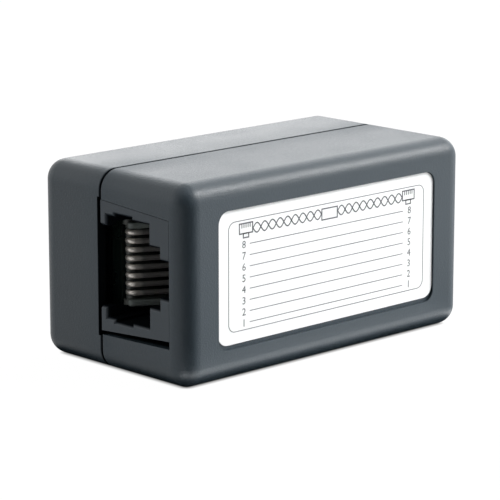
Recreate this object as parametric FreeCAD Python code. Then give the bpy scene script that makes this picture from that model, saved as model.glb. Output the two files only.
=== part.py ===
"""Inline coupler for eight-way modular plugs, as a set of separate solids in millimetres.

A two-part moulded case holds two jacks back to back on a small circuit board. The jacks show at the
ends of the case, each with its stepped mouth: a wide space for the plug, a shoulder for its latch and
a neck for its latch lever. Eight spring wires rise from the floor of each mouth, and the board joins
wire 1 of one jack to wire 1 of the other, and so on to 8.

Frame: X runs from port to port, Y from the label face (-Y) to the back (+Y), Z is up. The origin is
on the surface the coupler stands on, under the middle of the case.

The case is sized round what it holds, so the driving sizes below are those of the plug, the jack, the
board and the walls. Inside a jack, places along X are given as a depth from the mouth.
"""

import FreeCAD, Part
import math
import os
from FreeCAD import Vector

# ---------------------------------------------------------------- driving sizes
# Opening that takes the plug, in the jack's face.
plug_space_width = 11.85
plug_space_height = 7.05
plug_reach = 11.4  # mouth to the stop at the plug's nose
latch_shoulder_width = 7.0
latch_shoulder_height = 1.75
latch_neck_width = 4.3
latch_neck_height = 1.7
latch_wall = 1.5  # wall at the mouth that the latch catches behind
latch_rise = 0.8  # how far the latch springs up behind that wall
latch_pocket_end = 10.5  # depth of the latch pocket's far end
mouth_chamfer = 0.3
face_notch_width = 9.4  # cut in the floor strips at the mouth, in front of the wires
face_notch_depth = 1.4

# Jack housing.
jack_side_wall = 1.7
jack_floor = 1.0  # strips either side of the wire slot, on the board
jack_side_draft = 0.75  # each side leans in by this much towards the label
side_relief_depth = 0.33
side_relief_low = 1.4  # above the floor strips
side_relief_high = 4.2
core_web = 0.9  # plastic left round the moulding pockets
core_pocket_start = 2.2
peg_radius = 1.1
peg_tip_length = 0.35  # coned end
peg_in_from_side = 1.35  # peg axis to the housing's side
peg_before_pins = 3.8  # peg axis to the first row of pins
lug_start = 2.1  # depth of the lug's front, just behind the end wall
lug_length = 2.4
lug_low = 0.6
lug_high = 6.6
lug_wall_gap = 0.15

# Spring wires and the carrier that holds them.
wire_count = 8
wire_pitch = 1.016
wire_diameter = 0.62
wire_bend_radius = 0.7
wire_knee_radius = 1.4
wire_rise_deg = 29.0
wire_level_deg = 4.0
bend_depth = 2.95  # mouth to the front of the wires' bends
wire_knee_depth = 9.8
wire_free_end = 12.2
pin_row_spacing = 2.54
pin_past_board = 0.8
first_pins_behind_stop = 1.2
carrier_behind_pins = 1.06
carrier_comb_margin = 1.15  # outer wires to the comb's ends
carrier_post_width = 0.6  # posts that close the comb
carrier_plate_rise = 0.2  # plate's top above the floor strips
carrier_under_wire = 0.06  # ribs reach this far below the wires
comb_slot_depth = 1.6
comb_slot_top = 5.5
comb_recess = 0.4  # ribs stand back this far from the wires' bends
housing_past_carrier = 0.8
catch_height = 1.4
catch_length = 1.5
catch_reach = 0.7

# Circuit board.
board_thickness = 1.6
board_end_inset = 3.1  # mouth to the board's end
board_edge_gap = 0.4
copper_thickness = 0.1
track_width = 0.2
pad_radius = 0.62
via_radius = 0.3
via_stud_radius = 0.15
track_jack_gap = 1.5  # the upright tracks stay this far from both jacks
pin_hole_radius = 0.4
solder_height = 0.6
solder_foot_radius = 0.56
solder_tip_radius = 0.39

# Case.
case_wall = 2.0
case_edge_radius = 2.4
middle_bay = 12.0  # between the two jacks
latch_side_rib = 0.6  # ribs that carry the jacks off the label wall
jack_under_parting = 0.1  # the jacks sit this far below the rim
back_bay = 8.8  # parting plane to the back wall's inner face
parting_gap = 0.28
tongue_height = 1.4
tongue_thickness = 0.9
tongue_edge_radius = 1.3
rim_radius = 0.15
window_gap_above = 0.05
window_gap_below = 0.45
window_gap_taper = 0.45  # the gap below grows by this towards the label
jack_offset = 0.7  # the jacks sit this far above the case's middle
window_gap_latch = 0.04
rim_notch_depth = 0.5
rim_notch_overlap = 0.25
rib_thickness = 1.0
stop_rib_height = 5.5
boss_radius = 2.0
boss_pin_radius = 1.1
boss_pin_length = 5.0
boss_bore_depth = 5.5

# Snap hooks that hold the shells together.
hook_width = 4.6
hook_thickness = 1.0
hook_wall_gap = 0.15
hook_jack_gap = 0.2
hook_offset = 8.2  # hook's middle to the case's middle
hook_reach = 4.9  # past the parting plane
hook_catch = 0.4  # how far the barb reaches into its pocket
barb_length = 1.4

# Label and its recess.
label_width = 35.2
label_height = 15.5
label_thickness = 0.12
label_corner_radius = 1.5
recess_depth = 0.35
recess_play_x = 0.35
recess_play_z = 0.45
label_edge_gap = 0.05  # the label is stuck up against the recess's upper left corner
label_offset = 0.15  # the recess sits this far above the case's middle

fit_clearance = 0.05  # between moulded pieces that slide together
hole_clearance = 0.1  # round what passes through the board

# ---------------------------------------------------------------- worked-out sizes
jack_width = plug_space_width + 2 * jack_side_wall
jack_height = jack_floor + plug_space_height + latch_shoulder_height + latch_neck_height
first_pins = plug_reach + first_pins_behind_stop
second_pins = first_pins + pin_row_spacing
pins_middle = (first_pins + second_pins) / 2
carrier_end = second_pins + carrier_behind_pins
jack_length = carrier_end + housing_past_carrier
nose_depth = bend_depth + wire_bend_radius + wire_diameter / 2

side_space = hook_wall_gap + hook_thickness + hook_jack_gap + jack_offset
lug_reach = side_space - jack_offset - lug_wall_gap
inner_height = jack_width + 2 * side_space
case_height = inner_height + 2 * case_wall
case_length = 2 * jack_length + middle_bay
label_shell_depth = case_wall + latch_side_rib + jack_height + jack_under_parting
case_depth = label_shell_depth + back_bay + case_wall

mid_z = case_height / 2
jack_z = mid_z + jack_offset
label_z = mid_z + label_offset
mouth_x = -case_length / 2
label_y = -case_depth / 2
back_y = case_depth / 2
parting_y = label_y + label_shell_depth
board_y = parting_y - jack_under_parting  # face of the board that carries the jacks
board_back_y = board_y + board_thickness
inner_label_y = label_y + case_wall
inner_back_y = back_y - case_wall
inner_end_x = case_length / 2 - case_wall

floor_y = board_y - jack_floor
roof_y = floor_y - plug_space_height
shoulder_y = roof_y - latch_shoulder_height
latch_y = shoulder_y - latch_neck_height  # the jack's face towards the label
catch_y = floor_y - plug_space_height / 2  # middle of the carrier's catches

wire_radius = wire_diameter / 2
groove_half = wire_radius + fit_clearance
comb_half_width = (wire_count - 1) * wire_pitch / 2 + wire_radius + carrier_comb_margin
floor_slot_half = comb_half_width + fit_clearance
wire_run_y = board_y - carrier_under_wire - wire_radius - hole_clearance
nose_y = wire_run_y - wire_bend_radius
plate_top = floor_y - carrier_plate_rise
plate_bottom = wire_run_y - wire_radius - fit_clearance
rib_bottom = wire_run_y + wire_radius + carrier_under_wire

board_half_length = case_length / 2 - board_end_inset
board_half_height = inner_height / 2 - board_edge_gap
boss_offset = board_half_height - boss_radius - hole_clearance
peg_depth = first_pins - peg_before_pins
peg_offset = jack_width / 2 - peg_in_from_side

LIMIT = 100.0  # longer than anything here, for cuts that run right through
PAST = 1.0  # how far a cut runs past the face it opens


# ---------------------------------------------------------------- helpers
def block(x0, x1, y0, y1, z0, z1):
    return Part.makeBox(x1 - x0, y1 - y0, z1 - z0, Vector(x0, y0, z0))


def jack_block(depth0, depth1, y0, y1, half_width):
    """Block in the left jack, symmetrical about the jack's mid-plane."""
    return block(mouth_x + depth0, mouth_x + depth1, y0, y1, jack_z - half_width, jack_z + half_width)


def prism_along_x(points_yz, x0, x1):
    face = Part.Face(Part.makePolygon([Vector(x0, y, z) for y, z in points_yz + points_yz[:1]]))
    return face.extrude(Vector(x1 - x0, 0, 0))


def pin(radius, x, z, y0, y1):
    return Part.makeCylinder(radius, y1 - y0, Vector(x, y0, z), Vector(0, 1, 0))


def octagon(across, x, z, y0, y1):
    """Eight-sided stud along Y, such as a pad, measured from its middle to its flats."""
    corner = across / math.cos(math.pi / 8)
    ring = [Vector(x + corner * math.cos(math.pi * (k + 0.5) / 4), y0,
                   z + corner * math.sin(math.pi * (k + 0.5) / 4)) for k in range(9)]
    return Part.Face(Part.makePolygon(ring)).extrude(Vector(0, y1 - y0, 0))


def rounded_block(x0, x1, y0, y1, z0, z1, radius, edges=None):
    """Block with its edges rounded: all of them, or those along the axis named."""
    solid = block(x0, x1, y0, y1, z0, z1)
    chosen = solid.Edges
    if edges == "along_y":
        chosen = [e for e in solid.Edges if abs(e.Vertexes[0].Y - e.Vertexes[1].Y) > 1e-6]
    return solid.makeFillet(radius, chosen)


def mirrored(shape):
    """The same feature at the other end of the case."""
    return shape.mirror(Vector(0, 0, 0), Vector(1, 0, 0))


def turned(shape):
    """The same jack piece at the other end: turned half round, as an identical moulding has to be."""
    copy = shape.copy()
    copy.rotate(Vector(0, 0, jack_z), Vector(0, 1, 0), 180)
    return copy


def both_ends(shape):
    return shape.fuse(mirrored(shape))


def joined(shapes):
    shapes = list(shapes)
    return shapes[0].multiFuse(shapes[1:]).removeSplitter() if len(shapes) > 1 else shapes[0]


def wire_z(number):
    """Height of a wire of the left jack. Wire 1 is the lowest."""
    return jack_z + (number - (wire_count + 1) / 2) * wire_pitch


def pin_depth(number):
    """The wires' pins stand in two rows, odd numbers in the first."""
    return first_pins if number % 2 else second_pins


# ---------------------------------------------------------------- case
def case_block():
    return rounded_block(mouth_x, -mouth_x, label_y, back_y, 0, case_height, case_edge_radius)


def case_inside():
    return block(-inner_end_x, inner_end_x, inner_label_y, inner_back_y,
                 case_wall, case_height - case_wall)


def tongue_ring(clearance, y0, y1):
    """Frame that the tongue fills, grown outwards by a clearance for the rebate that takes it."""
    inset = case_wall - tongue_thickness - clearance
    outer = rounded_block(mouth_x + inset, -mouth_x - inset, y0, y1, inset, case_height - inset,
                          tongue_edge_radius + clearance, "along_y")
    return outer.cut(case_inside())


def port_window():
    """Opening in the left end wall: the jack's outline with its gaps, open at the rim."""
    low_half = jack_width / 2
    high_half = low_half - jack_side_draft
    y_latch = latch_y - window_gap_latch
    y_open = parting_y + tongue_height + hole_clearance
    widen = jack_side_draft / jack_height  # keeps the draft going past the jack
    half_open = low_half + (y_open - board_y) * widen
    points = [
        (y_latch, jack_z - high_half - window_gap_below - window_gap_taper),
        (y_open, jack_z - half_open - window_gap_below),
        (y_open, jack_z + half_open + window_gap_above),
        (y_latch, jack_z + high_half + window_gap_above),
    ]
    return prism_along_x(points, mouth_x - PAST, -inner_end_x + fit_clearance)


def recess_half_sizes():
    half_x = (label_width + recess_play_x) / 2 + label_edge_gap
    half_z = (label_height + recess_play_z) / 2 + label_edge_gap
    return half_x, half_z


def label_recess():
    half_x, half_z = recess_half_sizes()
    return rounded_block(-half_x, half_x, label_y - PAST, label_y + recess_depth,
                         label_z - half_z, label_z + half_z, label_corner_radius, "along_y")


def hook_profile(outwards):
    """Section of a snap hook in Y and Z, for the upper wall (outwards +1) or the lower (-1)."""
    wall_z = mid_z + outwards * inner_height / 2
    outer_z = wall_z - outwards * hook_wall_gap
    inner_z = outer_z - outwards * hook_thickness
    barb_z = wall_z + outwards * hook_catch
    tip_y = parting_y - hook_reach
    return [
        (inner_back_y + fit_clearance, inner_z),
        (tip_y, inner_z),
        (tip_y, outer_z - outwards * hook_thickness / 2),
        (tip_y + barb_length, barb_z),
        (tip_y + barb_length, outer_z),
        (inner_back_y + fit_clearance, outer_z),
    ]


def snap_hooks():
    """Four hooks on the back shell, each rooted in the wall behind the front shell's tongue."""
    hooks = []
    root_y = parting_y + tongue_height + rib_thickness / 2
    for outwards in (-1, 1):
        wall_z = mid_z + outwards * inner_height / 2
        inner_z = wall_z - outwards * (hook_wall_gap + hook_thickness)
        low, high = sorted((inner_z, wall_z + outwards * fit_clearance))
        for x in (-hook_offset, hook_offset):
            x0, x1 = x - hook_width / 2, x + hook_width / 2
            hooks.append(prism_along_x(hook_profile(outwards), x0, x1))
            hooks.append(block(x0, x1, root_y, inner_back_y + fit_clearance, low, high))
    return joined(hooks)


def hook_pockets():
    """Blind pockets inside the front shell that the barbs spring into."""
    pockets = []
    y0 = parting_y - hook_reach - hole_clearance
    y1 = parting_y - hook_reach + barb_length + fit_clearance
    for outwards in (-1, 1):
        wall_z = mid_z + outwards * inner_height / 2
        low, high = sorted((wall_z - outwards * hole_clearance,
                            wall_z + outwards * (hook_catch + hole_clearance)))
        for x in (-hook_offset, hook_offset):
            half = hook_width / 2 + hole_clearance
            pockets.append(block(x - half, x + half, y0, y1, low, high))
    return pockets


def on_case_outline(point):
    """True for a point on the outer outline of the case, seen along Y."""
    past_x = abs(point.x) - (case_length / 2 - case_edge_radius)
    past_z = abs(point.z - mid_z) - (case_height / 2 - case_edge_radius)
    reach = math.hypot(past_x, past_z) if min(past_x, past_z) > 0 else max(past_x, past_z)
    return abs(reach - case_edge_radius) < 1e-4


def soften_rim(shell, rim_y):
    """Rounds the shell's outer edge at the parting line."""
    outline = []
    for edge in shell.Edges:
        middle = edge.valueAt((edge.FirstParameter + edge.LastParameter) / 2)
        ends = [vertex.Point for vertex in edge.Vertexes]
        if all(abs(p.y - rim_y) < 1e-6 and on_case_outline(p) for p in ends + [middle]):
            outline.append(edge)
    return shell.makeFillet(rim_radius, outline)


def front_shell():
    """Label side of the case, with the tongue, both port windows and the seats for jacks and board."""
    rim_y = parting_y - parting_gap / 2
    shell = case_block().common(block(-LIMIT, LIMIT, -LIMIT, rim_y, -LIMIT, LIMIT))
    shell = shell.cut(case_inside())
    shell = soften_rim(shell, rim_y)
    tongue = tongue_ring(0, rim_y - rib_thickness, parting_y + tongue_height)

    root_y = inner_label_y - fit_clearance  # ribs and bosses start just inside the label wall
    seats = []
    for depth in (peg_depth + rib_thickness, pins_middle):
        seats.append(jack_block(depth, depth + rib_thickness, root_y, latch_y, plug_space_width / 2))
    stop_depth = jack_length + fit_clearance
    seats.append(jack_block(stop_depth, stop_depth + rib_thickness, root_y,
                            inner_label_y + stop_rib_height, plug_space_width / 2 + rib_thickness))
    seats = joined(seats)
    bosses = joined(pin(boss_radius, 0, mid_z + side * boss_offset, root_y, board_y) for side in (-1, 1))

    shell = joined([shell, tongue, seats, mirrored(seats), bosses])
    cuts = [both_ends(port_window()), label_recess()] + hook_pockets()
    for side in (-1, 1):
        cuts.append(pin(boss_pin_radius + fit_clearance, 0, mid_z + side * boss_offset,
                        board_y - boss_bore_depth, board_y + PAST))
    for cut in cuts:
        shell = shell.cut(cut)
    return shell.removeSplitter()


def back_shell():
    """Plain side of the case, with the rebate for the tongue, the hooks and the board's clamping bosses."""
    rim_y = parting_y + parting_gap / 2
    shell = case_block().common(block(-LIMIT, LIMIT, rim_y, LIMIT, -LIMIT, LIMIT))
    shell = shell.cut(case_inside())
    shell = soften_rim(shell, rim_y)
    shell = shell.cut(tongue_ring(fit_clearance, rim_y - PAST, parting_y + tongue_height))

    notch = block(mouth_x - PAST, -inner_end_x + fit_clearance, rim_y - PAST, parting_y + rim_notch_depth,
                  jack_z - jack_width / 2 - window_gap_below - rim_notch_overlap,
                  jack_z + jack_width / 2 + window_gap_above + rim_notch_overlap)
    shell = shell.cut(both_ends(notch))

    root_y = inner_back_y + fit_clearance  # ribs and bosses start just inside the back wall
    end_rib_x = -board_half_length + rib_thickness / 2
    end_rib = block(end_rib_x, end_rib_x + rib_thickness, board_back_y, root_y,
                    mid_z - peg_offset, mid_z + peg_offset)
    supports = [snap_hooks(), end_rib, mirrored(end_rib)]
    for side in (-1, 1):
        z = mid_z + side * boss_offset
        supports.append(pin(boss_radius, 0, z, board_back_y, root_y))
        supports.append(pin(boss_pin_radius, 0, z, board_y - boss_pin_length, board_back_y + fit_clearance))
    return joined([shell] + supports)


def label():
    """Printed film in the recess, stuck up against its upper left corner."""
    half_x, half_z = recess_half_sizes()
    x0 = -half_x + label_edge_gap
    z1 = label_z + half_z - label_edge_gap
    face_y = label_y + recess_depth
    return rounded_block(x0, x0 + label_width, face_y - label_thickness, face_y,
                         z1 - label_height, z1, label_corner_radius, "along_y")


# ---------------------------------------------------------------- jack
def jack_outline():
    low_half = jack_width / 2
    high_half = low_half - jack_side_draft
    points = [(board_y, jack_z - low_half), (latch_y, jack_z - high_half),
              (latch_y, jack_z + high_half), (board_y, jack_z + low_half)]
    return prism_along_x(points, mouth_x, mouth_x + jack_length)


def jack_lugs():
    """Ears behind the end wall that stop the jack from being pulled out of its window."""
    reach = jack_width / 2 + lug_reach
    return jack_block(lug_start, lug_start + lug_length, board_y - lug_high, board_y - lug_low, reach)


def jack_pegs():
    """Two pegs that locate the jack on the board, with coned tips."""
    pegs = []
    x = mouth_x + peg_depth
    cone_y = board_back_y + pin_past_board - peg_tip_length
    for side in (-1, 1):
        z = jack_z + side * peg_offset
        pegs.append(pin(peg_radius, x, z, board_y - fit_clearance, cone_y))
        pegs.append(Part.makeCone(peg_radius, peg_radius - peg_tip_length, peg_tip_length,
                                  Vector(x, cone_y, z), Vector(0, 1, 0)))
    return pegs


def plug_space_cuts():
    """The stepped opening, and what widens behind it."""
    plug_half = plug_space_width / 2
    shoulder_half = latch_shoulder_width / 2
    beyond = jack_length + PAST
    return [
        jack_block(-PAST, beyond, roof_y, floor_y, plug_half),
        jack_block(-PAST, beyond, floor_y - PAST, board_y + PAST, face_notch_width / 2),
        jack_block(face_notch_depth, beyond, floor_y - PAST, board_y + PAST, floor_slot_half),
        jack_block(-PAST, plug_reach, floor_y - side_relief_high, floor_y - side_relief_low,
                   plug_half + side_relief_depth),
        jack_block(-PAST, latch_pocket_end, shoulder_y, roof_y + PAST, shoulder_half),
        jack_block(latch_wall, latch_pocket_end, shoulder_y - latch_rise, roof_y + PAST, shoulder_half),
        jack_block(-PAST, latch_pocket_end, latch_y - PAST, shoulder_y + PAST, latch_neck_width / 2),
    ]


def core_pockets():
    """Moulding pockets either side of the latch, which keep the wall thickness even."""
    inner = latch_shoulder_width / 2 + core_web
    outer = jack_width / 2 - jack_side_draft - core_web
    pockets = []
    for low, high in ((-outer, -inner), (inner, outer)):
        pockets.append(block(mouth_x + core_pocket_start, mouth_x + peg_depth - core_web,
                             latch_y - PAST, roof_y - core_web, jack_z + low, jack_z + high))
    return pockets


def catches(half_length, half_height, half_width):
    """Bar across the jack, for the carrier's catches and for the slots that they snap into."""
    return jack_block(pins_middle - half_length, pins_middle + half_length,
                      catch_y - half_height, catch_y + half_height, half_width)


def on_mouth_outline(edge):
    """True for an edge of the jack's opening in its face."""
    if any(abs(v.X - mouth_x) > 1e-6 for v in edge.Vertexes):
        return False
    middle = edge.valueAt((edge.FirstParameter + edge.LastParameter) / 2)
    inside_y = latch_y + 1e-3 < middle.y < board_y - 1e-3
    inside_z = abs(middle.z - jack_z) < plug_space_width / 2 + side_relief_depth + 1e-3
    return inside_y and inside_z


def jack_housing():
    """Open-backed moulding that stands on the board, with the stepped opening in its face."""
    body = joined([jack_outline(), jack_lugs()])
    catch_slots = catches(catch_length / 2 + hole_clearance, catch_height / 2 + hole_clearance,
                          jack_width / 2 + PAST)
    for cut in plug_space_cuts() + core_pockets() + [catch_slots]:
        body = body.cut(cut)
    body = body.removeSplitter()
    body = body.makeChamfer(mouth_chamfer, [e for e in body.Edges if on_mouth_outline(e)])
    return joined([body] + jack_pegs())


def carrier_rib(z0, z1, recess):
    """Rib of the carrier between two wires, with a round nose that stands back from their bends."""
    nose = (rib_bottom - plate_top) / 2
    nose_x = mouth_x + bend_depth + recess + nose
    tip = Part.makeCylinder(nose, z1 - z0, Vector(nose_x, plate_top + nose, z0), Vector(0, 0, 1))
    return tip.fuse(block(nose_x, mouth_x + carrier_end, plate_top, rib_bottom, z0, z1))


def contact_carrier():
    """Insert that holds the eight wires: a floor plate with grooves under it, and the plug's stop."""
    z0, z1 = jack_z - comb_half_width, jack_z + comb_half_width
    pieces = [
        jack_block(nose_depth + hole_clearance, carrier_end, plate_top, plate_bottom, comb_half_width),
        jack_block(plug_reach, carrier_end, roof_y + fit_clearance, floor_y - fit_clearance,
                   plug_space_width / 2 - fit_clearance),
        catches(catch_length / 2, catch_height / 2, plug_space_width / 2 + catch_reach),
        carrier_rib(z0, z0 + carrier_post_width, 0),
        carrier_rib(z1 - carrier_post_width, z1, 0),
        carrier_rib(z0 + carrier_post_width, wire_z(1) - groove_half, comb_recess),
        carrier_rib(wire_z(wire_count) + groove_half, z1 - carrier_post_width, comb_recess),
    ]
    for number in range(1, wire_count):
        pieces.append(carrier_rib(wire_z(number) + groove_half, wire_z(number + 1) - groove_half,
                                  comb_recess))
    for number in range(1, wire_count + 1):
        groove_end = mouth_x + pin_depth(number) + groove_half
        pieces.append(block(groove_end, mouth_x + carrier_end, plate_bottom, rib_bottom,
                            wire_z(number) - groove_half - fit_clearance,
                            wire_z(number) + groove_half + fit_clearance))
    carrier = joined(pieces)
    for number in range(1, wire_count + 1):
        carrier = carrier.cut(block(mouth_x + plug_reach - PAST, mouth_x + plug_reach + comb_slot_depth,
                                    floor_y - comb_slot_top, plate_top, wire_z(number) - groove_half,
                                    wire_z(number) + groove_half))
    return carrier.removeSplitter()


def spring_wire(number):
    """One wire: pin, run under the carrier, bend round its nose, rise into the plug's way, level end."""
    pin_x = mouth_x + pin_depth(number)
    nose_x = mouth_x + nose_depth
    bend = wire_bend_radius
    rise = math.radians(wire_rise_deg)
    level = math.radians(wire_level_deg)
    z = wire_z(number)

    def point(x, y):
        return Vector(x, y, z)

    tail = point(pin_x, board_back_y + pin_past_board)
    tail_top = point(pin_x, wire_run_y + bend)
    tail_bend = point(pin_x - bend * (1 - math.sqrt(0.5)), wire_run_y + bend * (1 - math.sqrt(0.5)))
    run_start = point(pin_x - bend, wire_run_y)
    run_end = point(nose_x, wire_run_y)
    nose_front = point(nose_x - bend, nose_y)
    rise_start = point(nose_x - bend * math.sin(rise), nose_y - bend * math.cos(rise))

    # The knee is an arc between the rising stretch and the level one.
    knee_in = point(mouth_x + wire_knee_depth,
                    rise_start.y - (mouth_x + wire_knee_depth - rise_start.x) * math.tan(rise))
    centre = knee_in + Vector(math.sin(rise), math.cos(rise), 0) * wire_knee_radius

    def on_knee(angle):
        return centre - Vector(math.sin(angle), math.cos(angle), 0) * wire_knee_radius

    knee_mid = on_knee((rise + level) / 2)
    knee_out = on_knee(level)
    free_x = mouth_x + wire_free_end
    free_end = point(free_x, knee_out.y - (free_x - knee_out.x) * math.tan(level))

    path = Part.Wire([
        Part.LineSegment(tail, tail_top).toShape(),
        Part.Arc(tail_top, tail_bend, run_start).toShape(),
        Part.LineSegment(run_start, run_end).toShape(),
        Part.Arc(run_end, nose_front, rise_start).toShape(),
        Part.LineSegment(rise_start, knee_in).toShape(),
        Part.Arc(knee_in, knee_mid, knee_out).toShape(),
        Part.LineSegment(knee_out, free_end).toShape(),
    ])
    section = Part.Wire(Part.makeCircle(wire_radius, tail, Vector(0, -1, 0)))
    return path.makePipeShell([section], True, False)


# ---------------------------------------------------------------- board
def right_pin(number):
    """Where a wire's pin stands on the right half of the board."""
    return -mouth_x - pin_depth(number), 2 * jack_z - wire_z(number)


def track_column(number):
    """X of the upright track that carries a wire's signal across the others."""
    span = middle_bay - 2 * track_jack_gap
    return -span / 2 + (number - 1) * span / (wire_count - 1)


def return_row(number):
    """Right-hand rows run half a pitch above the pins, clear of the left-hand rows."""
    return right_pin(number)[1] + wire_pitch / 2


def circuit_board():
    """Laminate with notches for the hooks and holes for bosses, pegs, pins and vias."""
    board = block(-board_half_length, board_half_length, board_y, board_back_y,
                  mid_z - board_half_height, mid_z + board_half_height)
    front, back = board_y - PAST, board_back_y + PAST
    holes = []
    notch_half = hook_width / 2 + 2 * hole_clearance
    notch_z = inner_height / 2 - hook_wall_gap - hook_thickness - hole_clearance
    for side in (-1, 1):
        low, high = sorted((mid_z + side * notch_z, mid_z + side * LIMIT))
        for x in (-hook_offset, hook_offset):
            holes.append(block(x - notch_half, x + notch_half, front, back, low, high))
        holes.append(pin(boss_pin_radius + hole_clearance, 0, mid_z + side * boss_offset, front, back))
        for x in (mouth_x + peg_depth, -mouth_x - peg_depth):
            holes.append(pin(peg_radius + fit_clearance, x, jack_z + side * peg_offset, front, back))
    for number in range(1, wire_count + 1):
        x_right, z_right = right_pin(number)
        for x, z in ((mouth_x + pin_depth(number), wire_z(number)), (x_right, z_right)):
            holes.append(pin(pin_hole_radius, x, z, front, back))
        for z in (wire_z(number), return_row(number)):
            holes.append(octagon(via_stud_radius, track_column(number), z, front, back))
    for hole in holes:
        board = board.cut(hole)
    return board


def board_track(number):
    """Copper from one jack's pin to the other's: along the back, through, up the front, and back again."""
    half = track_width / 2
    column = track_column(number)
    left_x, left_z = mouth_x + pin_depth(number), wire_z(number)
    right_x, right_z = right_pin(number)
    row_z = return_row(number)
    back0, back1 = board_back_y, board_back_y + copper_thickness
    jog = wire_pitch / 2
    jog_x = -mouth_x - jack_length + jog

    pieces = [
        block(left_x, column, back0, back1, left_z - half, left_z + half),
        block(column, jog_x, back0, back1, row_z - half, row_z + half),
        block(jog_x + jog, right_x, back0, back1, right_z - half, right_z + half),
        block(column - half, column + half, board_y - copper_thickness, board_y,
              min(left_z, row_z), max(left_z, row_z)),
    ]
    slant = Part.Face(Part.makePolygon([Vector(x, back0, z) for x, z in (
        (jog_x - half, row_z - half), (jog_x - half, row_z + half), (jog_x + half, row_z + half),
        (jog_x + jog + half, right_z + half), (jog_x + jog + half, right_z - half),
        (jog_x + jog - half, right_z - half), (jog_x - half, row_z - half))]))
    pieces.append(slant.extrude(Vector(0, copper_thickness, 0)))
    for x, z in ((left_x, left_z), (right_x, right_z)):
        pieces.append(octagon(pad_radius, x, z, back0, back1))
    for z in (left_z, row_z):
        pieces.append(octagon(via_radius, column, z, board_y - copper_thickness, board_y))
        pieces.append(octagon(via_stud_radius, column, z, board_y - copper_thickness, back1))
        pieces.append(octagon(via_radius, column, z, back0, back1))
    track = joined(pieces)
    for x, z in ((left_x, left_z), (right_x, right_z)):
        track = track.cut(pin(pin_hole_radius, x, z, back0 - PAST, back1 + PAST))
    return track


def solder_joints():
    """Cones of solder round the left jack's pins, on the back of the board."""
    joints = []
    y0 = board_back_y + copper_thickness
    for number in range(1, wire_count + 1):
        x, z = mouth_x + pin_depth(number), wire_z(number)
        cone = Part.makeCone(solder_foot_radius, solder_tip_radius, solder_height,
                             Vector(x, y0, z), Vector(0, 1, 0))
        joints.append(cone.cut(pin(wire_radius, x, z, y0 - PAST, y0 + solder_height + PAST)))
    return Part.makeCompound(joints)


# ---------------------------------------------------------------- write the parts
def all_parts():
    housing = jack_housing()
    carrier = contact_carrier()
    solder = solder_joints()
    parts = {
        "front_shell": front_shell(),
        "back_shell": back_shell(),
        "label": label(),
        "left_jack_housing": housing,
        "right_jack_housing": turned(housing),
        "left_contact_carrier": carrier,
        "right_contact_carrier": turned(carrier),
        "circuit_board": circuit_board(),
        "board_tracks": Part.makeCompound([board_track(n) for n in range(1, wire_count + 1)]),
        "left_solder_joints": solder,
        "right_solder_joints": turned(solder),
    }
    for number in range(1, wire_count + 1):
        wire = spring_wire(number)
        parts["left_contact_%d" % number] = wire
        parts["right_contact_%d" % number] = turned(wire)
    return parts


def main():
    os.makedirs("parts", exist_ok=True)
    for name, shape in all_parts().items():
        shape.exportStep("parts/%s.step" % name)
        print("%-24s %d solid(s) %9.3f mm3" % (name, len(shape.Solids), shape.Volume))
    print("case %.2f x %.2f x %.2f mm" % (case_length, case_depth, case_height))


main()
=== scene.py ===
import math

import bmesh
import bpy
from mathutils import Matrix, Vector


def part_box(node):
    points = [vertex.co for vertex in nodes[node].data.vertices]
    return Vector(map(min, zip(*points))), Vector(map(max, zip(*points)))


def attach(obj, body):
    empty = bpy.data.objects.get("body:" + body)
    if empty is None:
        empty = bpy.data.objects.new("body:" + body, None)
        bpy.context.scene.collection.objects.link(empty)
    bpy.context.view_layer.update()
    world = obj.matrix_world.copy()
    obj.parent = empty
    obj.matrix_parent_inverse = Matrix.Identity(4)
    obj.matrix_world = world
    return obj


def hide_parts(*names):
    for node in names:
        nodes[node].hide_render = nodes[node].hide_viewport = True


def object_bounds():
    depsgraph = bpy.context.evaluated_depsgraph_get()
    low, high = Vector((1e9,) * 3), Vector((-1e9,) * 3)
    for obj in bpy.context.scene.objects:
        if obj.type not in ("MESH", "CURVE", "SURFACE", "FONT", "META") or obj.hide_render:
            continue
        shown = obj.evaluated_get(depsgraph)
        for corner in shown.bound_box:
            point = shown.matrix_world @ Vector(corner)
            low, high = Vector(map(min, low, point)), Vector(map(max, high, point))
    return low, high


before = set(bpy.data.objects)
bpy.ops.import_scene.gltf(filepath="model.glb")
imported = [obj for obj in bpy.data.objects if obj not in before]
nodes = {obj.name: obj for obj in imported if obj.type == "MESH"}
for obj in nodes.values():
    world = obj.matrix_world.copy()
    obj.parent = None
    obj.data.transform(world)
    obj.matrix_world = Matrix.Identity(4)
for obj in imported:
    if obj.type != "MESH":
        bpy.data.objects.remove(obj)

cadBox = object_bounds()
caseMiddle = (cadBox[0] + cadBox[1]) / 2
mm = 0.001
print("frame loaded with", len(nodes), "nodes")


# Shader and geometry nodes. A Value wraps a socket, and sums on it add Math nodes.
class Value:
    def __init__(self, builder, socket):
        self.builder = builder
        self.socket = socket

    def sum(self, operation, first, second):
        return self.builder.add(self.builder.mathKind, {"operation": operation}, {0: first, 1: second})

    def __add__(self, other):
        return self.sum("ADD", self, other)

    def __radd__(self, other):
        return self.sum("ADD", other, self)

    def __sub__(self, other):
        return self.sum("SUBTRACT", self, other)

    def __rsub__(self, other):
        return self.sum("SUBTRACT", other, self)

    def __mul__(self, other):
        return self.sum("MULTIPLY", self, other)


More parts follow.
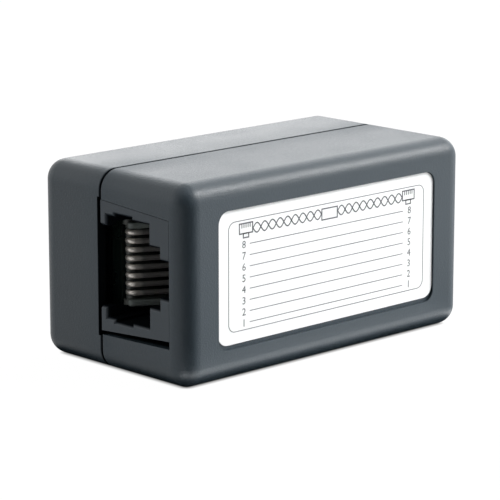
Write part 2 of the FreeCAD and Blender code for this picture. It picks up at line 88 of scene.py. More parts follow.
class Builder:
    mathKind = "ShaderNodeMath"

    def __init__(self, tree):
        self.tree = tree
        self.tree.nodes.clear()

    def add(self, kind, settings=None, inputs=None, output=0):
        node = self.tree.nodes.new(kind)
        for name, setting in (settings or {}).items():
            if name == "stops":
                self.setStops(node.color_ramp.elements, setting)
            else:
                setattr(node, name, setting)
        for key, value in (inputs or {}).items():
            if isinstance(value, Value):
                self.tree.links.new(value.socket, node.inputs[key])
            else:
                node.inputs[key].default_value = value
        return Value(self, node.outputs[output]) if len(node.outputs) else node

    def setStops(self, elements, stops):
        while len(elements) < len(stops):
            elements.new(1.0)
        for element, (place, colour) in zip(elements, stops):
            element.position = place
            element.color = colour

    def mix(self, share, first, second):
        return self.add("ShaderNodeMix", {"data_type": "RGBA"}, {0: share, 6: first, 7: second}, 2)

    def raySum(self, camera, gloss):
        # a share for what the camera sees and one for what a gloss or glass shows; other light gets none
        seen, shiny, through = [self.add("ShaderNodeLightPath", output=name)
                                for name in ("Is Camera Ray", "Is Glossy Ray", "Is Transmission Ray")]
        return self.sumUpTo([seen * camera, shiny * gloss, through * gloss])

    def sumUpTo(self, shares):
        # the sum of the shares, at most 1
        total = shares[0]
        for share in shares[1:]:
            total = total + share
        return self.clamped(total)

    def clamped(self, value):
        # held between 0 and 1
        raised = self.add(self.mathKind, {"operation": "MAXIMUM"}, {0: value, 1: 0.0})
        return self.add(self.mathKind, {"operation": "MINIMUM"}, {0: raised, 1: 1.0})

    def ramp(self, value, low, high):
        # 0 at low, 1 at high
        return self.clamped((value - low) * (1 / (high - low)))

    def vector(self, operation, first, second=None):
        inputs = {0: first} if second is None else {0: first, 1: second}
        output = "Value" if operation in ("LENGTH", "DOT_PRODUCT") else "Vector"
        return self.add("ShaderNodeVectorMath", {"operation": operation}, inputs, output)


def newMaterial(name):
    material = bpy.data.materials.new(name)
    material.use_nodes = True
    return material, Builder(material.node_tree)


def finishMaterial(builder, inside=None, **sockets):
    # inside is the share of plain dark shade, for what lies deep in the case
    inputs = {name.replace("_", " "): value for name, value in sockets.items()}
    shader = builder.add("ShaderNodeBsdfPrincipled", None, inputs)
    if inside is not None:
        dark = builder.add("ShaderNodeBsdfDiffuse", None, {"Color": rgba(shade)})
        shader = builder.add("ShaderNodeMixShader", None, {0: inside, 1: shader, 2: dark})
    builder.add("ShaderNodeOutputMaterial", None, {"Surface": shader})


def noise(builder, size, detail=2.0, roughness=0.55, stretch=(1, 1, 1)):
    # size is about the width of one blotch, in metres
    coords = builder.add("ShaderNodeTexCoord", output="Object")
    placed = builder.add("ShaderNodeMapping", None, {"Vector": coords, "Scale": stretch})
    return builder.add("ShaderNodeTexNoise", None,
                       {"Vector": placed, "Scale": 1 / size, "Detail": detail, "Roughness": roughness})


def bump(builder, height, depth):
    return builder.add("ShaderNodeBump", None, {"Height": height, "Distance": depth})


def rgba(colour):
    return (*colour, 1.0)


shade = (0.006, 0.008, 0.010)  # plastic inside the case, where the light of the room gives out


# Case: slate plastic from a spark-eroded mould, the back shell a little glossier than the label side.
caseFinish = {
    "dark": (0.0275, 0.0410, 0.0525),
    "light": (0.0345, 0.0495, 0.0615),
    "mottle": 6.0 * mm,  # widths of one blotch, grain and pit
    "grain": 0.22 * mm,
    "pit": 0.09 * mm,
    "pitShare": 0.3,  # of the height, the rest being grain
    "depth": 0.045 * mm,
    "grainRoughness": 0.22,  # how far each one changes the roughness
    "mottleRoughness": 0.10,
    "shells": {"front_shell": {"roughness": 0.41, "specular": 0.5},
               "back_shell": {"roughness": 0.34, "specular": 0.5}},
    "edgeRadius": 2.4 * mm,
    "seamPastBoard": 0.1 * mm,  # from the board's face to the middle of the parting gap
    "seamBand": (0.60 * mm, 0.75 * mm),  # half the width of the band of painted shade on the parting gap's walls, fading between these
    "seamFrom": 0.02 * mm,  # depths under the outside where the band fades in
    "seamTo": 0.12 * mm,
    "lineShare": 0.45,  # share of shade in the fine line that the gap draws along the top and base
    "lineFade": (0.18 * mm, 0.42 * mm),  # away from the gap
    "lineLevel": (1.5 * mm, 0.5 * mm),  # from the top and base
    "haze": (0.05, 0.05),  # added roughness near the gap, and more of it towards the ends
    "hazeFade": (0.8 * mm, 5.0 * mm),  # away from the gap
    "hazeEnds": (8.0 * mm, 22.0 * mm),  # along X from the middle
    "innerFrom": 0.45 * mm,  # below this depth in the wall the plastic is in the dark of the case
    "innerTo": 1.2 * mm,
}


def depthInCase(b):
    # how far a point lies under the rounded outside of the case, up to the edge radius
    radius = caseFinish["edgeRadius"]
    half = (cadBox[1] - cadBox[0]) / 2
    where = b.add("ShaderNodeTexCoord", output="Object")
    fromMiddle = b.vector("ABSOLUTE", b.vector("SUBTRACT", where, tuple(caseMiddle)))
    past = b.vector("SUBTRACT", fromMiddle, tuple(h - radius for h in half))
    return radius - b.vector("LENGTH", b.vector("MAXIMUM", past, (0, 0, 0)))


def fromMiddleOf(b, axis, middle):
    # how far a point lies from a plane across the axis
    where = b.add("ShaderNodeTexCoord", output="Object")
    along = b.add("ShaderNodeSeparateXYZ", None, {0: where}, axis)
    return b.add(b.mathKind, {"operation": "ABSOLUTE"}, {0: along - middle})


def awayFromSeam(b):
    # along Y, from the middle of the parting gap, which lies just behind the board's face
    return fromMiddleOf(b, "Y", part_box("circuit_board")[0].y + caseFinish["seamPastBoard"])


def caseMaterial(name, shell):
    finish = caseFinish
    material, b = newMaterial(name)
    mottle = noise(b, finish["mottle"], 3)
    grain = noise(b, finish["grain"], 2)
    pits = noise(b, finish["pit"], 1)
    texture = grain * (1 - finish["pitShare"]) + pits * finish["pitShare"]
    skin = b.mix(mottle * 0.6 + grain * 0.4, rgba(finish["dark"]), rgba(finish["light"]))
    depth = depthInCase(b)
    away = awayFromSeam(b)
    band = 1.0 - b.ramp(away, *finish["seamBand"])
    level = b.ramp(fromMiddleOf(b, "Z", caseMiddle.z), *[caseMiddle.z - drop for drop in finish["lineLevel"]])
    line = level * (1.0 - b.ramp(away, *finish["lineFade"])) * finish["lineShare"]
    inner = b.ramp(depth, finish["innerFrom"], finish["innerTo"])
    # painted shade: deep in the walls, on the walls of the parting gap, and in a fine line beside the gap on
    # the top and base
    inside = b.sumUpTo([inner, band * b.ramp(depth, finish["seamFrom"], finish["seamTo"]), line])
    nearGap, towardsEnds = finish["haze"]
    ends = b.ramp(fromMiddleOf(b, "X", 0.0), *finish["hazeEnds"])
    haze = (1.0 - b.ramp(away, *finish["hazeFade"])) * (ends * towardsEnds + nearGap)
    uneven = (grain - 0.5) * finish["grainRoughness"] + (mottle - 0.5) * finish["mottleRoughness"]
    finishMaterial(
        b,
        inside,
        Base_Color=skin,
        Roughness=uneven + haze + shell["roughness"],
        Specular_IOR_Level=shell["specular"],
        Normal=bump(b, texture, finish["depth"]),
    )
    return material


# Jack and carrier: smooth moulded plastic with faint flow marks.
jackFinish = {
    "flow": 3.0 * mm,
    "fine": 0.12 * mm,
    "fineDepth": 0.002 * mm,
    # the inner depths are measured from the end face; further in, painted shade darkens the plastic
    "housing": {"dark": (0.0265, 0.0385, 0.0495), "light": (0.0325, 0.0455, 0.0575), "roughness": 0.38,
                "innerFrom": 0.04 * mm, "innerTo": 0.25 * mm},
    "carrier": {"dark": (0.110, 0.120, 0.112), "light": (0.140, 0.150, 0.140), "roughness": 0.42,
                "innerFrom": 4.5 * mm, "innerTo": 9.0 * mm},
    "cheeks": {"dark": (0.175, 0.205, 0.196), "light": (0.230, 0.260, 0.248), "roughness": 0.42,
               "innerFrom": 6.0 * mm, "innerTo": 11.0 * mm},
    "specular": 0.5,
}


def depthFromEnd(b):
    # how far a point lies inside the nearer end face
    where = b.add("ShaderNodeTexCoord", output="Object")
    along = b.add("ShaderNodeSeparateXYZ", None, {0: b.vector("ABSOLUTE", where)}, "X")
    return cadBox[1].x - along


def mouldedMaterial(name, colours):
    material, b = newMaterial(name)
    flow = noise(b, jackFinish["flow"], 3, stretch=(1, 0.35, 1))
    fine = noise(b, jackFinish["fine"], 2)
    face = b.mix(flow, rgba(colours["dark"]), rgba(colours["light"]))
    # painted shade, growing with depth from the end face
    inside = b.ramp(depthFromEnd(b), colours["innerFrom"], colours["innerTo"])
    finishMaterial(
        b,
        inside,
        Base_Color=face,
        Roughness=colours["roughness"] + (flow - 0.5) * 0.10 + (fine - 0.5) * 0.06,
        Specular_IOR_Level=jackFinish["specular"],
        Normal=bump(b, fine, jackFinish["fineDepth"]),
    )
    return material


# Label film and the ink on it.
labelFinish = {
    "film": (0.887, 0.900, 0.896),
    "filmDull": (0.860, 0.875, 0.880),
    "fibre": 0.5 * mm,
    "wave": 9.0 * mm,
    "waveDepth": 0.006 * mm,
    "ink": (0.072, 0.076, 0.083),
    "inkPale": 1.8,  # times as light where the ink is thin
    "inkBlotch": 0.15 * mm,
}


def filmMaterial():
    material, b = newMaterial("labelFilm")
    fibre = noise(b, labelFinish["fibre"], 4, 0.7)
    wave = noise(b, labelFinish["wave"], 2)
    cloud = fibre * 0.5 + wave * 0.5
    finishMaterial(
        b,
        Base_Color=b.mix(cloud, rgba(labelFinish["filmDull"]), rgba(labelFinish["film"])),
        Roughness=0.40 + (fibre - 0.5) * 0.12,
        Specular_IOR_Level=0.35,
        Normal=bump(b, fibre * 0.2 + wave, labelFinish["waveDepth"]),
    )
    return material


def inkMaterial():
    material, b = newMaterial("labelInk")
    density = noise(b, labelFinish["inkBlotch"], 3, 0.7)
    pale = [labelFinish["inkPale"] * c for c in labelFinish["ink"]]
    finishMaterial(
        b,
        Base_Color=b.mix(density, rgba(labelFinish["ink"]), rgba(pale)),
        Roughness=0.5 + density * 0.1,
        Specular_IOR_Level=0.3,
    )
    return material


# Contact wires: bright metal at the bend, and beyond it a dull brown-grey, its darkness painted shade deeper
# in the jack.
wireFinish = {
    "bend": (0.82, 0.78, 0.72),
    # the colour beyond the bend: a duller metal, darkened as painted shade
    "dullShaded": (0.145, 0.142, 0.138),
    "dullPale": 1.5,  # times as light in patches
    "patch": 1.2 * mm,
    "drawn": 0.05 * mm,  # marks of the drawing die, along the wire
    "drawnDepth": 0.0015 * mm,
    "bendFrom": 3.4 * mm,  # depths from the end face where the bright part ends and painted shade takes over
    "bendTo": 4.3 * mm,
    "metallic": (0.6, 0.2),  # at the bend and beyond
    "roughness": (0.34, 0.44),
}


def wireMaterial():
    finish = wireFinish
    material, b = newMaterial("contactWire")
    drawn = noise(b, finish["drawn"], 2, 0.6, stretch=(0.08, 0.25, 1))
    patch = noise(b, finish["patch"], 3)
    dullShaded = b.mix(patch, rgba(finish["dullShaded"]), rgba([finish["dullPale"] * c for c in finish["dullShaded"]]))
    # painted shade: past these depths the wire turns to the darker colour
    deep = b.ramp(depthFromEnd(b), finish["bendFrom"], finish["bendTo"])
    metal, metalDeep = finish["metallic"]
    rough, roughDeep = finish["roughness"]
    finishMaterial(
        b,
        Base_Color=b.mix(deep, rgba(finish["bend"]), dullShaded),
        Metallic=metal - deep * (metal - metalDeep),
        Roughness=rough + (drawn - 0.5) * 0.25 + deep * (roughDeep - rough),
        Normal=bump(b, drawn, finish["drawnDepth"]),
    )
    return material


# Copper tracks and solder, in lighter and darker blotches, and the near-black board: a black solder mask,
# made this dark as painted shade for the dark inside of the case.
metalFinish = {
    "copperTrack": {"dark": (0.42, 0.20, 0.10), "light": (0.78, 0.42, 0.24), "blotch": 0.6 * mm, "detail": 4,
                    "roughness": 0.30, "uneven": 0.20, "depth": 0.002 * mm},
    "solder": {"dark": (0.52, 0.53, 0.55), "light": (0.72, 0.73, 0.74), "blotch": 0.10 * mm, "detail": 3,
               "roughness": 0.22, "uneven": 0.25, "depth": 0.004 * mm},
}
boardFinish = {
    # near black, partly painted shade for the dark inside of the case
    "dark": (0.006, 0.012, 0.010),
    "light": (0.012, 0.022, 0.018),
    "thread": 0.5 * mm,  # width of the glass threads under the solder mask
    "threadDepth": 0.01 * mm,
    "blotch": 4.0 * mm,
    "roughness": 0.28,
}


def metalMaterial(name):
    finish = metalFinish[name]
    material, b = newMaterial(name)
    blotch = noise(b, finish["blotch"], finish["detail"])
    finishMaterial(
        b,
        Base_Color=b.mix(blotch, rgba(finish["dark"]), rgba(finish["light"])),
        Metallic=1.0,
        Roughness=finish["roughness"] + blotch * finish["uneven"],
        Normal=bump(b, blotch, finish["depth"]),
    )
    return material


def boardMaterial():
    finish = boardFinish
    material, b = newMaterial("boardLaminate")
    weaveX = noise(b, finish["thread"], 0, stretch=(1, 1, 0.05))
    weaveZ = noise(b, finish["thread"], 0, stretch=(0.05, 1, 1))
    mask = noise(b, finish["blotch"], 2)
    weave = weaveX * weaveZ
    finishMaterial(
        b,
        Base_Color=b.mix(mask * 0.5 + weave, rgba(finish["dark"]), rgba(finish["light"])),
        Roughness=finish["roughness"] + (mask - 0.5) * 0.1,
        Specular_IOR_Level=0.5,
        Normal=bump(b, weave, finish["threadDepth"]),
    )
    return material


def dress(material, *names):
    for name in names:
        for slot in nodes[name].material_slots:
            slot.material = material


for name, shell in caseFinish["shells"].items():
    dress(caseMaterial(name + "Plastic", shell), name)
jackPlastic = mouldedMaterial("jackPlastic", jackFinish["housing"])
carrierPlastic = mouldedMaterial("carrierPlastic", jackFinish["carrier"])
dress(jackPlastic, "left_jack_housing", "right_jack_housing")
dress(carrierPlastic, "left_contact_carrier", "right_contact_carrier")
dress(boardMaterial(), "circuit_board")
dress(metalMaterial("copperTrack"), "board_tracks")
dress(metalMaterial("solder"), "left_solder_joints", "right_solder_joints")
dress(wireMaterial(), *[name for name in nodes if "_contact_" in name and "carrier" not in name])
print("finishes are on", len(nodes), "nodes")


def linked(name, data):
    holder = bpy.data.objects.new(name, data)
    bpy.context.scene.collection.objects.link(holder)
    return holder


# Comb cheeks: the ribs that close each row of wires, rising beside them. The solids have only low posts.
cheekPlan = {
    "pitch": 1.016 * mm,  # of the wires
    "rowHalf": 4.5,  # in pitches, from the middle of the row to a cheek
    "lower": 0.2 * mm,  # both cheeks stand this much below their place in the row
    "thickness": 0.76 * mm,
    "front": 3.0 * mm,  # depths from the end face
    "back": 9.4 * mm,
    "footDrop": 3.5 * mm,  # from the housing's board side to the cheek's foot, in the carrier's plate
    "frontRise": 0.65 * mm,
    "frontChamfer": (0.2 * mm, 0.3 * mm),  # along the depth and the rise
    "slope": math.tan(math.radians(29)),
    "round": 0.2 * mm,
}
cheekPlastic = mouldedMaterial("cheekPlastic", jackFinish["cheeks"])


def cheekProfile(name):
    # the cheek's outline from the side, as depths from the end face and places along Y
    plan = cheekPlan
    front, back = plan["front"], plan["back"]
    chamferDepth, chamferRise = plan["frontChamfer"]
    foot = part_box(name + "_jack_housing")[1].y - plan["footDrop"]
    top = foot - plan["frontRise"]
    rise = (back - front) * plan["slope"]
    return [(front, foot), (front, top + chamferRise), (front + chamferDepth, top), (back, top - rise),
            (back, foot)]


def combCheeks(side, name):
    plan = cheekPlan
    low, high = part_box(name + "_contact_carrier")
    profile = cheekProfile(name)
    count = len(profile)
    shape = bmesh.new()
    for row in (-1, 1):
        z = (low.z + high.z) / 2 + row * plan["rowHalf"] * plan["pitch"] - plan["lower"]
        rings = []
        for dz in (-plan["thickness"] / 2, plan["thickness"] / 2):
            corners = [(side * (cadBox[1].x - depth), y, z + dz) for depth, y in profile]
            rings.append([shape.verts.new(corner) for corner in corners])
        for k in range(count):
            n = (k + 1) % count
            shape.faces.new((rings[0][k], rings[0][n], rings[1][n], rings[1][k]))
        for ring in rings:
            shape.faces.new(ring)
    bmesh.ops.recalc_face_normals(shape, faces=shape.faces)
    bmesh.ops.bevel(shape, geom=shape.edges, offset=plan["round"], segments=3, profile=0.5, affect="EDGES")
    mesh = bpy.data.meshes.new(name + "_comb_cheeks")
    shape.to_mesh(mesh)
    shape.free()
    mesh.materials.append(cheekPlastic)
    piece = linked(name + "_comb_cheeks", mesh)
    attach(piece, "root")


for side, name in ((-1, "left"), (1, "right")):
    combCheeks(side, name)
print("comb cheeks are in")


# Label: the film, a little wider than its solid so that it meets the recess's right wall, and the print
# on it, which is a frame, ruled lines, plain numbers at their ends and a wiring sketch above them.
printPlan = {
    "wider": 0.33 * mm,
    "cornerRadius": 1.5 * mm,
    "inkHeight": 0.012 * mm,
    "frameInset": (1.62 * mm, 1.36 * mm),  # along X and Z
    "frameRadius": 1.0 * mm,
    "frameWidth": 0.085 * mm,
    "lineCount": 8,
    "linePitch": 1.30 * mm,
    "lineWidth": 0.085 * mm,
    "lineStart": 4.95 * mm,  # from the label's left edge
    "lineEnd": 5.25 * mm,  # from its right edge
    "firstLine": 4.20 * mm,  # below its top edge
    "digitHeight": 0.85 * mm,
    "digitGap": (0.90 * mm, 1.10 * mm),  # from the lines' left and right ends
    "cornerSteps": 10,
}
labelLow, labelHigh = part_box("label")
labelHigh = labelHigh + Vector((printPlan["wider"], 0, 0))
inkFront = labelLow.y - printPlan["inkHeight"]
labelMiddle = (labelLow + labelHigh) / 2
ink = inkMaterial()


def meshFrom(name, points, faces):
    mesh = bpy.data.meshes.new(name)
    mesh.from_pydata(points, [], faces)
    mesh.validate()
    return linked(name, mesh)


def finishPrint(piece):
    piece.data.materials.clear()
    piece.data.materials.append(ink)
    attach(piece, "root")


def addSlab(points, faces, outline):
    # a four-cornered slab of ink standing on the film
    start = len(points)
    for y in (inkFront, labelLow.y):
        points += [(x, y, z) for x, z in outline]
    corners = [(0, 1, 2, 3), (7, 6, 5, 4), (0, 4, 5, 1), (1, 5, 6, 2), (2, 6, 7, 3), (3, 7, 4, 0)]
    faces += [tuple(start + c for c in face) for face in corners]


def roundedOutline(halfX, halfZ, radius):
    steps = printPlan["cornerSteps"]
    outline = []
    for corner, (sx, sz) in enumerate(((1, 1), (-1, 1), (-1, -1), (1, -1))):
        for step in range(steps + 1):
            angle = math.pi / 2 * (corner + step / steps)
            outline.append((sx * (halfX - radius) + radius * math.cos(angle),
                            sz * (halfZ - radius) + radius * math.sin(angle)))
    return outline


def labelSheet():
    half = (labelHigh - labelLow) / 2
    outline = roundedOutline(half.x, half.z, printPlan["cornerRadius"])
    count = len(outline)
    points = []
    for y in (labelLow.y, labelHigh.y):
        points += [(labelMiddle.x + x, y, labelMiddle.z + z) for x, z in outline]
    faces = [tuple(range(count)), tuple(range(2 * count - 1, count - 1, -1))]
    faces += [((k + 1) % count, k, count + k, count + (k + 1) % count) for k in range(count)]
    piece = meshFrom("label_sheet", points, faces)
    piece.data.materials.append(filmMaterial())
    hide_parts("label")
    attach(piece, "root")


def frameOnLabel():
    plan = printPlan
    halfX = (labelHigh.x - labelLow.x) / 2 - plan["frameInset"][0]
    halfZ = (labelHigh.z - labelLow.z) / 2 - plan["frameInset"][1]
    outer = roundedOutline(halfX, halfZ, plan["frameRadius"])
    width = plan["frameWidth"]
    inner = roundedOutline(halfX - width, halfZ - width, plan["frameRadius"] - width)
    count = len(outer)
    points = []
    for ring in (outer, inner):
        for y in (inkFront, labelLow.y):
            points += [(labelMiddle.x + x, y, labelMiddle.z + z) for x, z in ring]
    faces = []
    for k in range(count):
        n = (k + 1) % count
        # each ring's corners k and n: outer front, outer back, inner front and inner back
        a, b, c, d = k, n, count + k, count + n
        e, f, g, h = 2 * count + k, 2 * count + n, 3 * count + k, 3 * count + n
        faces += [(a, e, f, b), (c, d, h, g), (a, b, d, c), (e, g, h, f)]
    finishPrint(meshFrom("label_frame", points, faces))


def ruledLines():
    plan = printPlan
    x0, x1 = labelLow.x + plan["lineStart"], labelHigh.x - plan["lineEnd"]
    first = (x0 + x1) / 2, (inkFront + labelLow.y) / 2, labelHigh.z - plan["firstLine"]
    # each named input's kind and value
    settings = {
        "Lines": ("NodeSocketInt", plan["lineCount"]),
        "Pitch": ("NodeSocketFloat", plan["linePitch"]),
        "Length": ("NodeSocketFloat", x1 - x0),
        "Width": ("NodeSocketFloat", plan["lineWidth"]),
        "Ink height": ("NodeSocketFloat", plan["inkHeight"]),
    }
    tree = bpy.data.node_groups.new("ruledLines", "GeometryNodeTree")
    b = Builder(tree)
    for name, (kind, value) in settings.items():
        tree.interface.new_socket(name, in_out="INPUT", socket_type=kind)
    tree.interface.new_socket("Geometry", in_out="OUTPUT", socket_type="NodeSocketGeometry")
    count, pitch, length, width, height = [b.add("NodeGroupInput", output=k) for k in range(len(settings))]
    size = b.add("ShaderNodeCombineXYZ", None, {"X": length, "Y": height, "Z": width})
    bar = b.add("GeometryNodeMeshCube", None, {"Size": size})
    step = b.add("ShaderNodeCombineXYZ", None, {"Z": pitch * -1.0})
    places = {"Count": count, "Start Location": first, "Offset": step}
    rows = b.add("GeometryNodeMeshLine", {"mode": "OFFSET"}, places)
    placed = b.add("GeometryNodeInstanceOnPoints", None, {"Points": rows, "Instance": bar})
    solid = b.add("GeometryNodeRealizeInstances", None, {"Geometry": placed})
    inked = b.add("GeometryNodeSetMaterial", None, {"Geometry": solid, "Material": ink})
    b.add("NodeGroupOutput", None, {0: inked})

    holder = meshFrom("label_lines", [], [])
    modifier = holder.modifiers.new("ruledLines", "NODES")
    modifier.node_group = tree
    for item in tree.interface.items_tree:
        if item.in_out == "INPUT":
            modifier[item.identifier] = settings[item.name][1]
    graph = bpy.context.evaluated_depsgraph_get()
    made = bpy.data.meshes.new_from_object(holder.evaluated_get(graph))
    holder.modifiers.clear()
    holder.data = made
    finishPrint(holder)


def digitMesh(digit):
    curve = bpy.data.curves.new("digit", "FONT")
    curve.body = str(digit)
    curve.align_x = "CENTER"
    curve.align_y = "CENTER"
    curve.extrude = 0.5
    curve.resolution_u = 3
    holder = linked("digit", curve)
    graph = bpy.context.evaluated_depsgraph_get()
    mesh = bpy.data.meshes.new_from_object(holder.evaluated_get(graph))
    bpy.data.objects.remove(holder)
    return mesh


def numbersOnLabel():
    plan = printPlan
    points, faces = [], []
    left = labelLow.x + plan["lineStart"] - plan["digitGap"][0]
    right = labelHigh.x - plan["lineEnd"] + plan["digitGap"][1]
    for row in range(plan["lineCount"]):
        mesh = digitMesh(plan["lineCount"] - row)
        heights = [v.co.y for v in mesh.vertices]
        low, high = min(heights), max(heights)
        scale = plan["digitHeight"] / (high - low)
        middle = (high + low) / 2
        z = labelHigh.z - plan["firstLine"] - row * plan["linePitch"]
        for x in (left, right):
            start = len(points)
            for v in mesh.vertices:
                depth = inkFront if v.co.z > 0 else labelLow.y
                points.append((x + v.co.x * scale, depth, z + (v.co.y - middle) * scale))
            faces += [tuple(start + k for k in face.vertices) for face in mesh.polygons]
    finishPrint(meshFrom("label_numbers", points, faces))


# Wiring sketch: a stepped socket at each end, and a twisted pair from each to the box between them.
sketchPlan = {
    "middle": 2.60 * mm,  # below the label's top edge
    "halfHeight": 0.90 * mm,
    "halfWidth": 14.5 * mm,
    "stroke": 0.15 * mm,
    "socketHalf": 1.1 * mm,
    "neck": 0.45,  # of a socket's half width and half height
    "teeth": 5,
    "toothPitch": 0.32 * mm,
    "toothStrokes": (0.8, 3.0),  # width and length, in strokes
    "boxHalf": (1.35 * mm, 0.72 * mm),
    "pairLift": 0.090 * mm,
    "pairReach": 0.558 * mm,
    "halfTurn": 1.25 * mm,  # along the pair, from one crossing to the next
    "stepsPerTurn": 10,
}


def addOutline(points, faces, x0, x1, z0, z1):
    # the four sides of a rectangle
    w = sketchPlan["stroke"]
    for low, high, bottom, top in ((x0, x1, z0, z0 + w), (x0, x1, z1 - w, z1),
                                   (x0, x0 + w, z0 + w, z1 - w), (x1 - w, x1, z0 + w, z1 - w)):
        addSlab(points, faces, [(low, bottom), (high, bottom), (high, top), (low, top)])


def addSocket(points, faces, x, z):
    plan = sketchPlan
    half, halfHeight, stroke = plan["socketHalf"], plan["halfHeight"], plan["stroke"]
    step = z - plan["neck"] * halfHeight
    addOutline(points, faces, x - half, x + half, step, z + halfHeight)
    addOutline(points, faces, x - plan["neck"] * half, x + plan["neck"] * half, z - halfHeight, step + stroke)
    width, length = [share * stroke for share in plan["toothStrokes"]]
    top = z + halfHeight - stroke
    for tooth in range(plan["teeth"]):
        low = x + (tooth - (plan["teeth"] - 1) / 2) * plan["toothPitch"] - width / 2
        high, tip = low + width, top - length
        addSlab(points, faces, [(low, tip), (high, tip), (high, top), (low, top)])


def addTwistedPair(points, faces, x0, x1, z):
    # two wavy strokes that cross at every half turn
    plan = sketchPlan
    half = plan["stroke"] / 2
    turns = round((x1 - x0) / plan["halfTurn"])
    steps = plan["stepsPerTurn"] * turns
    for reach in (-plan["pairReach"], plan["pairReach"]):
        edges = []
        for step in range(steps + 1):
            angle = math.pi * turns * step / steps
            x = x0 + (x1 - x0) * step / steps
            lift = reach * math.sin(angle)
            slope = reach * math.cos(angle) * math.pi * turns / (x1 - x0)
            length = math.hypot(1, slope)
            acrossX, acrossZ = -slope / length * half, half / length
            edges.append(((x - acrossX, z + lift - acrossZ), (x + acrossX, z + lift + acrossZ)))
        for (low, high), (nextLow, nextHigh) in zip(edges, edges[1:]):
            addSlab(points, faces, [low, nextLow, nextHigh, high])


def wiringSketch():
    plan = sketchPlan
    x, z = labelMiddle.x, labelHigh.z - plan["middle"]
    boxX, boxZ = plan["boxHalf"]
    points, faces = [], []
    for side in (-1, 1):
        addSocket(points, faces, x + side * (plan["halfWidth"] - plan["socketHalf"]), z)
    addOutline(points, faces, x - boxX, x + boxX, z - boxZ, z + boxZ)
    for side in (-1, 1):
        near, far = sorted(x + side * reach for reach in (boxX, plan["halfWidth"] - 2 * plan["socketHalf"]))
        addTwistedPair(points, faces, near, far, z + plan["pairLift"])
    finishPrint(meshFrom("label_sketch", points, faces))


labelSheet()
frameOnLabel()
ruledLines()
numbersOnLabel()
wiringSketch()
print("label is printed")


# Stage: a white floor with a painted shadow around the base and painted reflections in a gloss, soft lamps, a
# white world behind, and the camera.
stagePlan = {
    "floorHalf": 3.0,
    "floorColour": (0.36, 0.36, 0.36),
    "ownLight": 0.93,  # share of its own even white that the camera sees, the rest being lit
    "ownStrength": 1.07,
    "shadowShare": 0.04,  # of the floor's colour, under the case
    # distances from the flat base over which the painted shadow around it clears, for the camera and in a
    # gloss
    "clearSeen": (0.3 * mm, 1.4 * mm),
    "clearShiny": (2.2 * mm, 3.6 * mm),
    # a painted bright strip in a gloss, before the label side, fades in and out over these
    "stripFrom": (3.2 * mm, 4.8 * mm),
    "stripTo": (4.8 * mm, 6.6 * mm),
    "stripEnd": 1.0 * mm,  # it ends over this length at the label side's plane
    # azimuths that the floor is dark and bright towards, and the cosines that each fades between
    "darkWay": 250,
    "darkFade": (0.60, 0.90),
    "brightWay": 310,
    "brightFade": (0.4, 0.9),
    # the painted glow that a gloss shows of the floor, as radiance
    "left": 0.72,
    "front": 1.60,
    "nearLess": 0.75,  # less of it close before the label side
    "farFloor": (8.0 * mm, 50.0 * mm),
    "stripLight": 5.0,
    "most": 7.0,
}
# a gloss shows the world dark around one direction, by slope times the cosine less the start
worldPlan = {"fill": 0.10, "darkWay": 234, "darkTilt": 10, "darkSlope": 1.6, "darkStart": 0.3}
lampPlan = {
    # azimuth turns from +X towards +Y; power is in watts, sizes and distance in metres
    "backSoftbox": {"azimuth": 36, "elevation": 24, "distance": 0.9, "size": (0.9, 0.6), "watts": 2.7,
                    "inGloss": True},
    "rightSoftbox": {"azimuth": -27, "elevation": 24, "distance": 0.9, "size": (1.1, 1.0), "watts": 19.2,
                     "inGloss": False},
    "highLamp": {"azimuth": -35, "elevation": 38, "distance": 0.8, "size": (0.20, 0.18), "watts": 4.0,
                 "inGloss": True},
    "leftSoftbox": {"azimuth": 146, "elevation": 16, "distance": 0.9, "size": (0.9, 0.9), "watts": 3.8,
                    "inGloss": False},
}
cameraPlan = {
    "azimuth": -43.80,  # from straight before the label side, negative towards the left port
    "elevation": 12.79,
    "distance": 306.6 * mm,
    "aimRight": -0.737 * mm,  # from the middle of the case, across and up the picture
    "aimUp": -0.850 * mm,
    "lens": 184.4,
    "sensor": 36,
    "clip": (0.01, 20),
}


def direction(azimuth, elevation):
    a, e = math.radians(azimuth), math.radians(elevation)
    return Vector((math.cos(a) * math.cos(e), math.sin(a) * math.cos(e), math.sin(e)))


def awayFromBase(b, where):
    # how far a point of the floor lies outside the flat base
    radius = caseFinish["edgeRadius"]
    flat = (cadBox[1].x - radius, cadBox[1].y - radius, 1)
    far = b.vector("SUBTRACT", b.vector("ABSOLUTE", where), flat)
    return b.vector("LENGTH", b.vector("MAXIMUM", far, (0, 0, 0)))


def floorInGloss(b, where, away):
    # painted reflection: the floor's own glow as a gloss shows it, dark close around the base and before the
    # near edge, bright before the label side, and a bright strip close in front of that
    plan = stagePlan
    corner = (cadBox[0].x, cadBox[0].y, 0)
    outward = b.vector("NORMALIZE", b.vector("SUBTRACT", where, corner))
    ahead = b.vector("DOT_PRODUCT", outward, tuple(direction(plan["darkWay"], 0)))
    aside = b.vector("DOT_PRODUCT", outward, tuple(direction(plan["brightWay"], 0)))
    across = b.add("ShaderNodeSeparateXYZ", None, {0: where}, "Y") * -1.0
    clearWay = 1.0 - b.ramp(ahead, *plan["darkFade"])
    front = b.ramp(aside, *plan["brightFade"])
    before = b.ramp(across, cadBox[1].y - plan["stripEnd"], cadBox[1].y)
    strip = before * b.ramp(away, *plan["stripFrom"]) * (1.0 - b.ramp(away, *plan["stripTo"]))
    near = 1.0 - b.ramp(away, *plan["farFloor"])
    openFloor = (front * (plan["front"] - plan["left"]) + plan["left"]) * clearWay
    light = openFloor + strip * plan["stripLight"] - front * near * plan["nearLess"]
    return b.clamped(light * b.ramp(away, *plan["clearShiny"]) * (1 / plan["most"]))


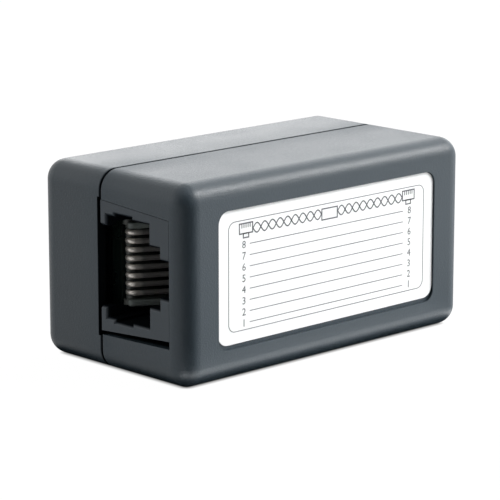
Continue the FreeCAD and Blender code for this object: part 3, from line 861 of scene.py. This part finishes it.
def whiteFloor():
    plan = stagePlan
    half = plan["floorHalf"]
    corners = [(-half, -half, 0), (half, -half, 0), (half, half, 0), (-half, half, 0)]
    floor = meshFrom("floor", corners, [(0, 1, 2, 3)])
    material, b = newMaterial("floorWhite")
    where = b.add("ShaderNodeTexCoord", output="Object")
    away = awayFromBase(b, where)
    # painted shadow: close around the base the floor's colour drops to shadowShare of itself and its own
    # white fades out
    clear = b.ramp(away, *plan["clearSeen"])
    shadow = [plan["shadowShare"] * c for c in plan["floorColour"]]
    colour = b.mix(clear, rgba(shadow), rgba(plan["floorColour"]))
    lit = b.add("ShaderNodeBsdfDiffuse", None, {"Color": colour})
    own = b.add("ShaderNodeEmission", None, {"Color": (1, 1, 1, 1), "Strength": plan["ownStrength"]})
    ownShare = b.raySum(1.0, 0.0) * clear * plan["ownLight"]
    seen = b.add("ShaderNodeMixShader", None, {0: ownShare, 1: lit, 2: own})
    # painted reflection: a gloss sees the floor's own glow, shaped by floorInGloss, instead of its lit colour
    bright = b.add("ShaderNodeEmission", None, {"Color": (1, 1, 1, 1), "Strength": plan["most"]})
    dark = b.add("ShaderNodeEmission", None, {"Color": (0, 0, 0, 1), "Strength": 0.0})
    shiny = b.add("ShaderNodeMixShader", None, {0: floorInGloss(b, where, away), 1: dark, 2: bright})
    mixed = b.add("ShaderNodeMixShader", None, {0: b.raySum(0.0, 1.0), 1: seen, 2: shiny})
    b.add("ShaderNodeOutputMaterial", None, {"Surface": mixed})
    floor.data.materials.append(material)


def whiteWorld():
    # white for the camera, dark in a gloss towards the side the camera stands on, a dim fill for the rest
    world = bpy.data.worlds.new("studio")
    bpy.context.scene.world = world
    world.use_nodes = True
    b = Builder(world.node_tree)
    plan = worldPlan
    where = b.add("ShaderNodeTexCoord", output="Generated")
    facing = b.vector("DOT_PRODUCT", where, tuple(direction(plan["darkWay"], plan["darkTilt"])))
    room = 1.0 - b.clamped(facing * plan["darkSlope"] - plan["darkStart"])
    light = b.sumUpTo([b.raySum(1.0, 0.0), b.raySum(0.0, 1.0) * room, plan["fill"]])
    colour = b.mix(light, (0, 0, 0, 1), (1, 1, 1, 1))
    sky = b.add("ShaderNodeBackground", None, {"Color": colour, "Strength": 1.0})
    b.add("ShaderNodeOutputWorld", None, {"Surface": sky})


def hangLamps():
    for name, plan in lampPlan.items():
        lamp = bpy.data.lights.new(name, "AREA")
        lamp.shape = "RECTANGLE"
        lamp.size, lamp.size_y = plan["size"]
        lamp.energy = plan["watts"]
        holder = linked(name, lamp)
        towards = direction(plan["azimuth"], plan["elevation"])
        holder.location = caseMiddle + towards * plan["distance"]
        holder.rotation_euler = towards.to_track_quat("Z", "Y").to_euler()
        holder.visible_camera = False
        holder.visible_glossy = plan["inGloss"]


def placeCamera():
    plan = cameraPlan
    a, e = math.radians(plan["azimuth"]), math.radians(plan["elevation"])
    ahead = Vector((-math.sin(a) * math.cos(e), math.cos(a) * math.cos(e), -math.sin(e)))
    right = Vector((math.cos(a), math.sin(a), 0))
    up = right.cross(ahead)
    camera = bpy.data.cameras.new("camera")
    camera.sensor_width = plan["sensor"]
    camera.lens = plan["lens"]
    camera.clip_start, camera.clip_end = plan["clip"]
    holder = linked("camera", camera)
    holder.location = caseMiddle + right * plan["aimRight"] + up * plan["aimUp"] - ahead * plan["distance"]
    holder.rotation_euler = ahead.to_track_quat("-Z", "Y").to_euler()
    bpy.context.scene.camera = holder


whiteFloor()
whiteWorld()
hangLamps()
placeCamera()
bpy.context.scene.view_settings.view_transform = "Standard"
print("stage, lamps and camera are set")
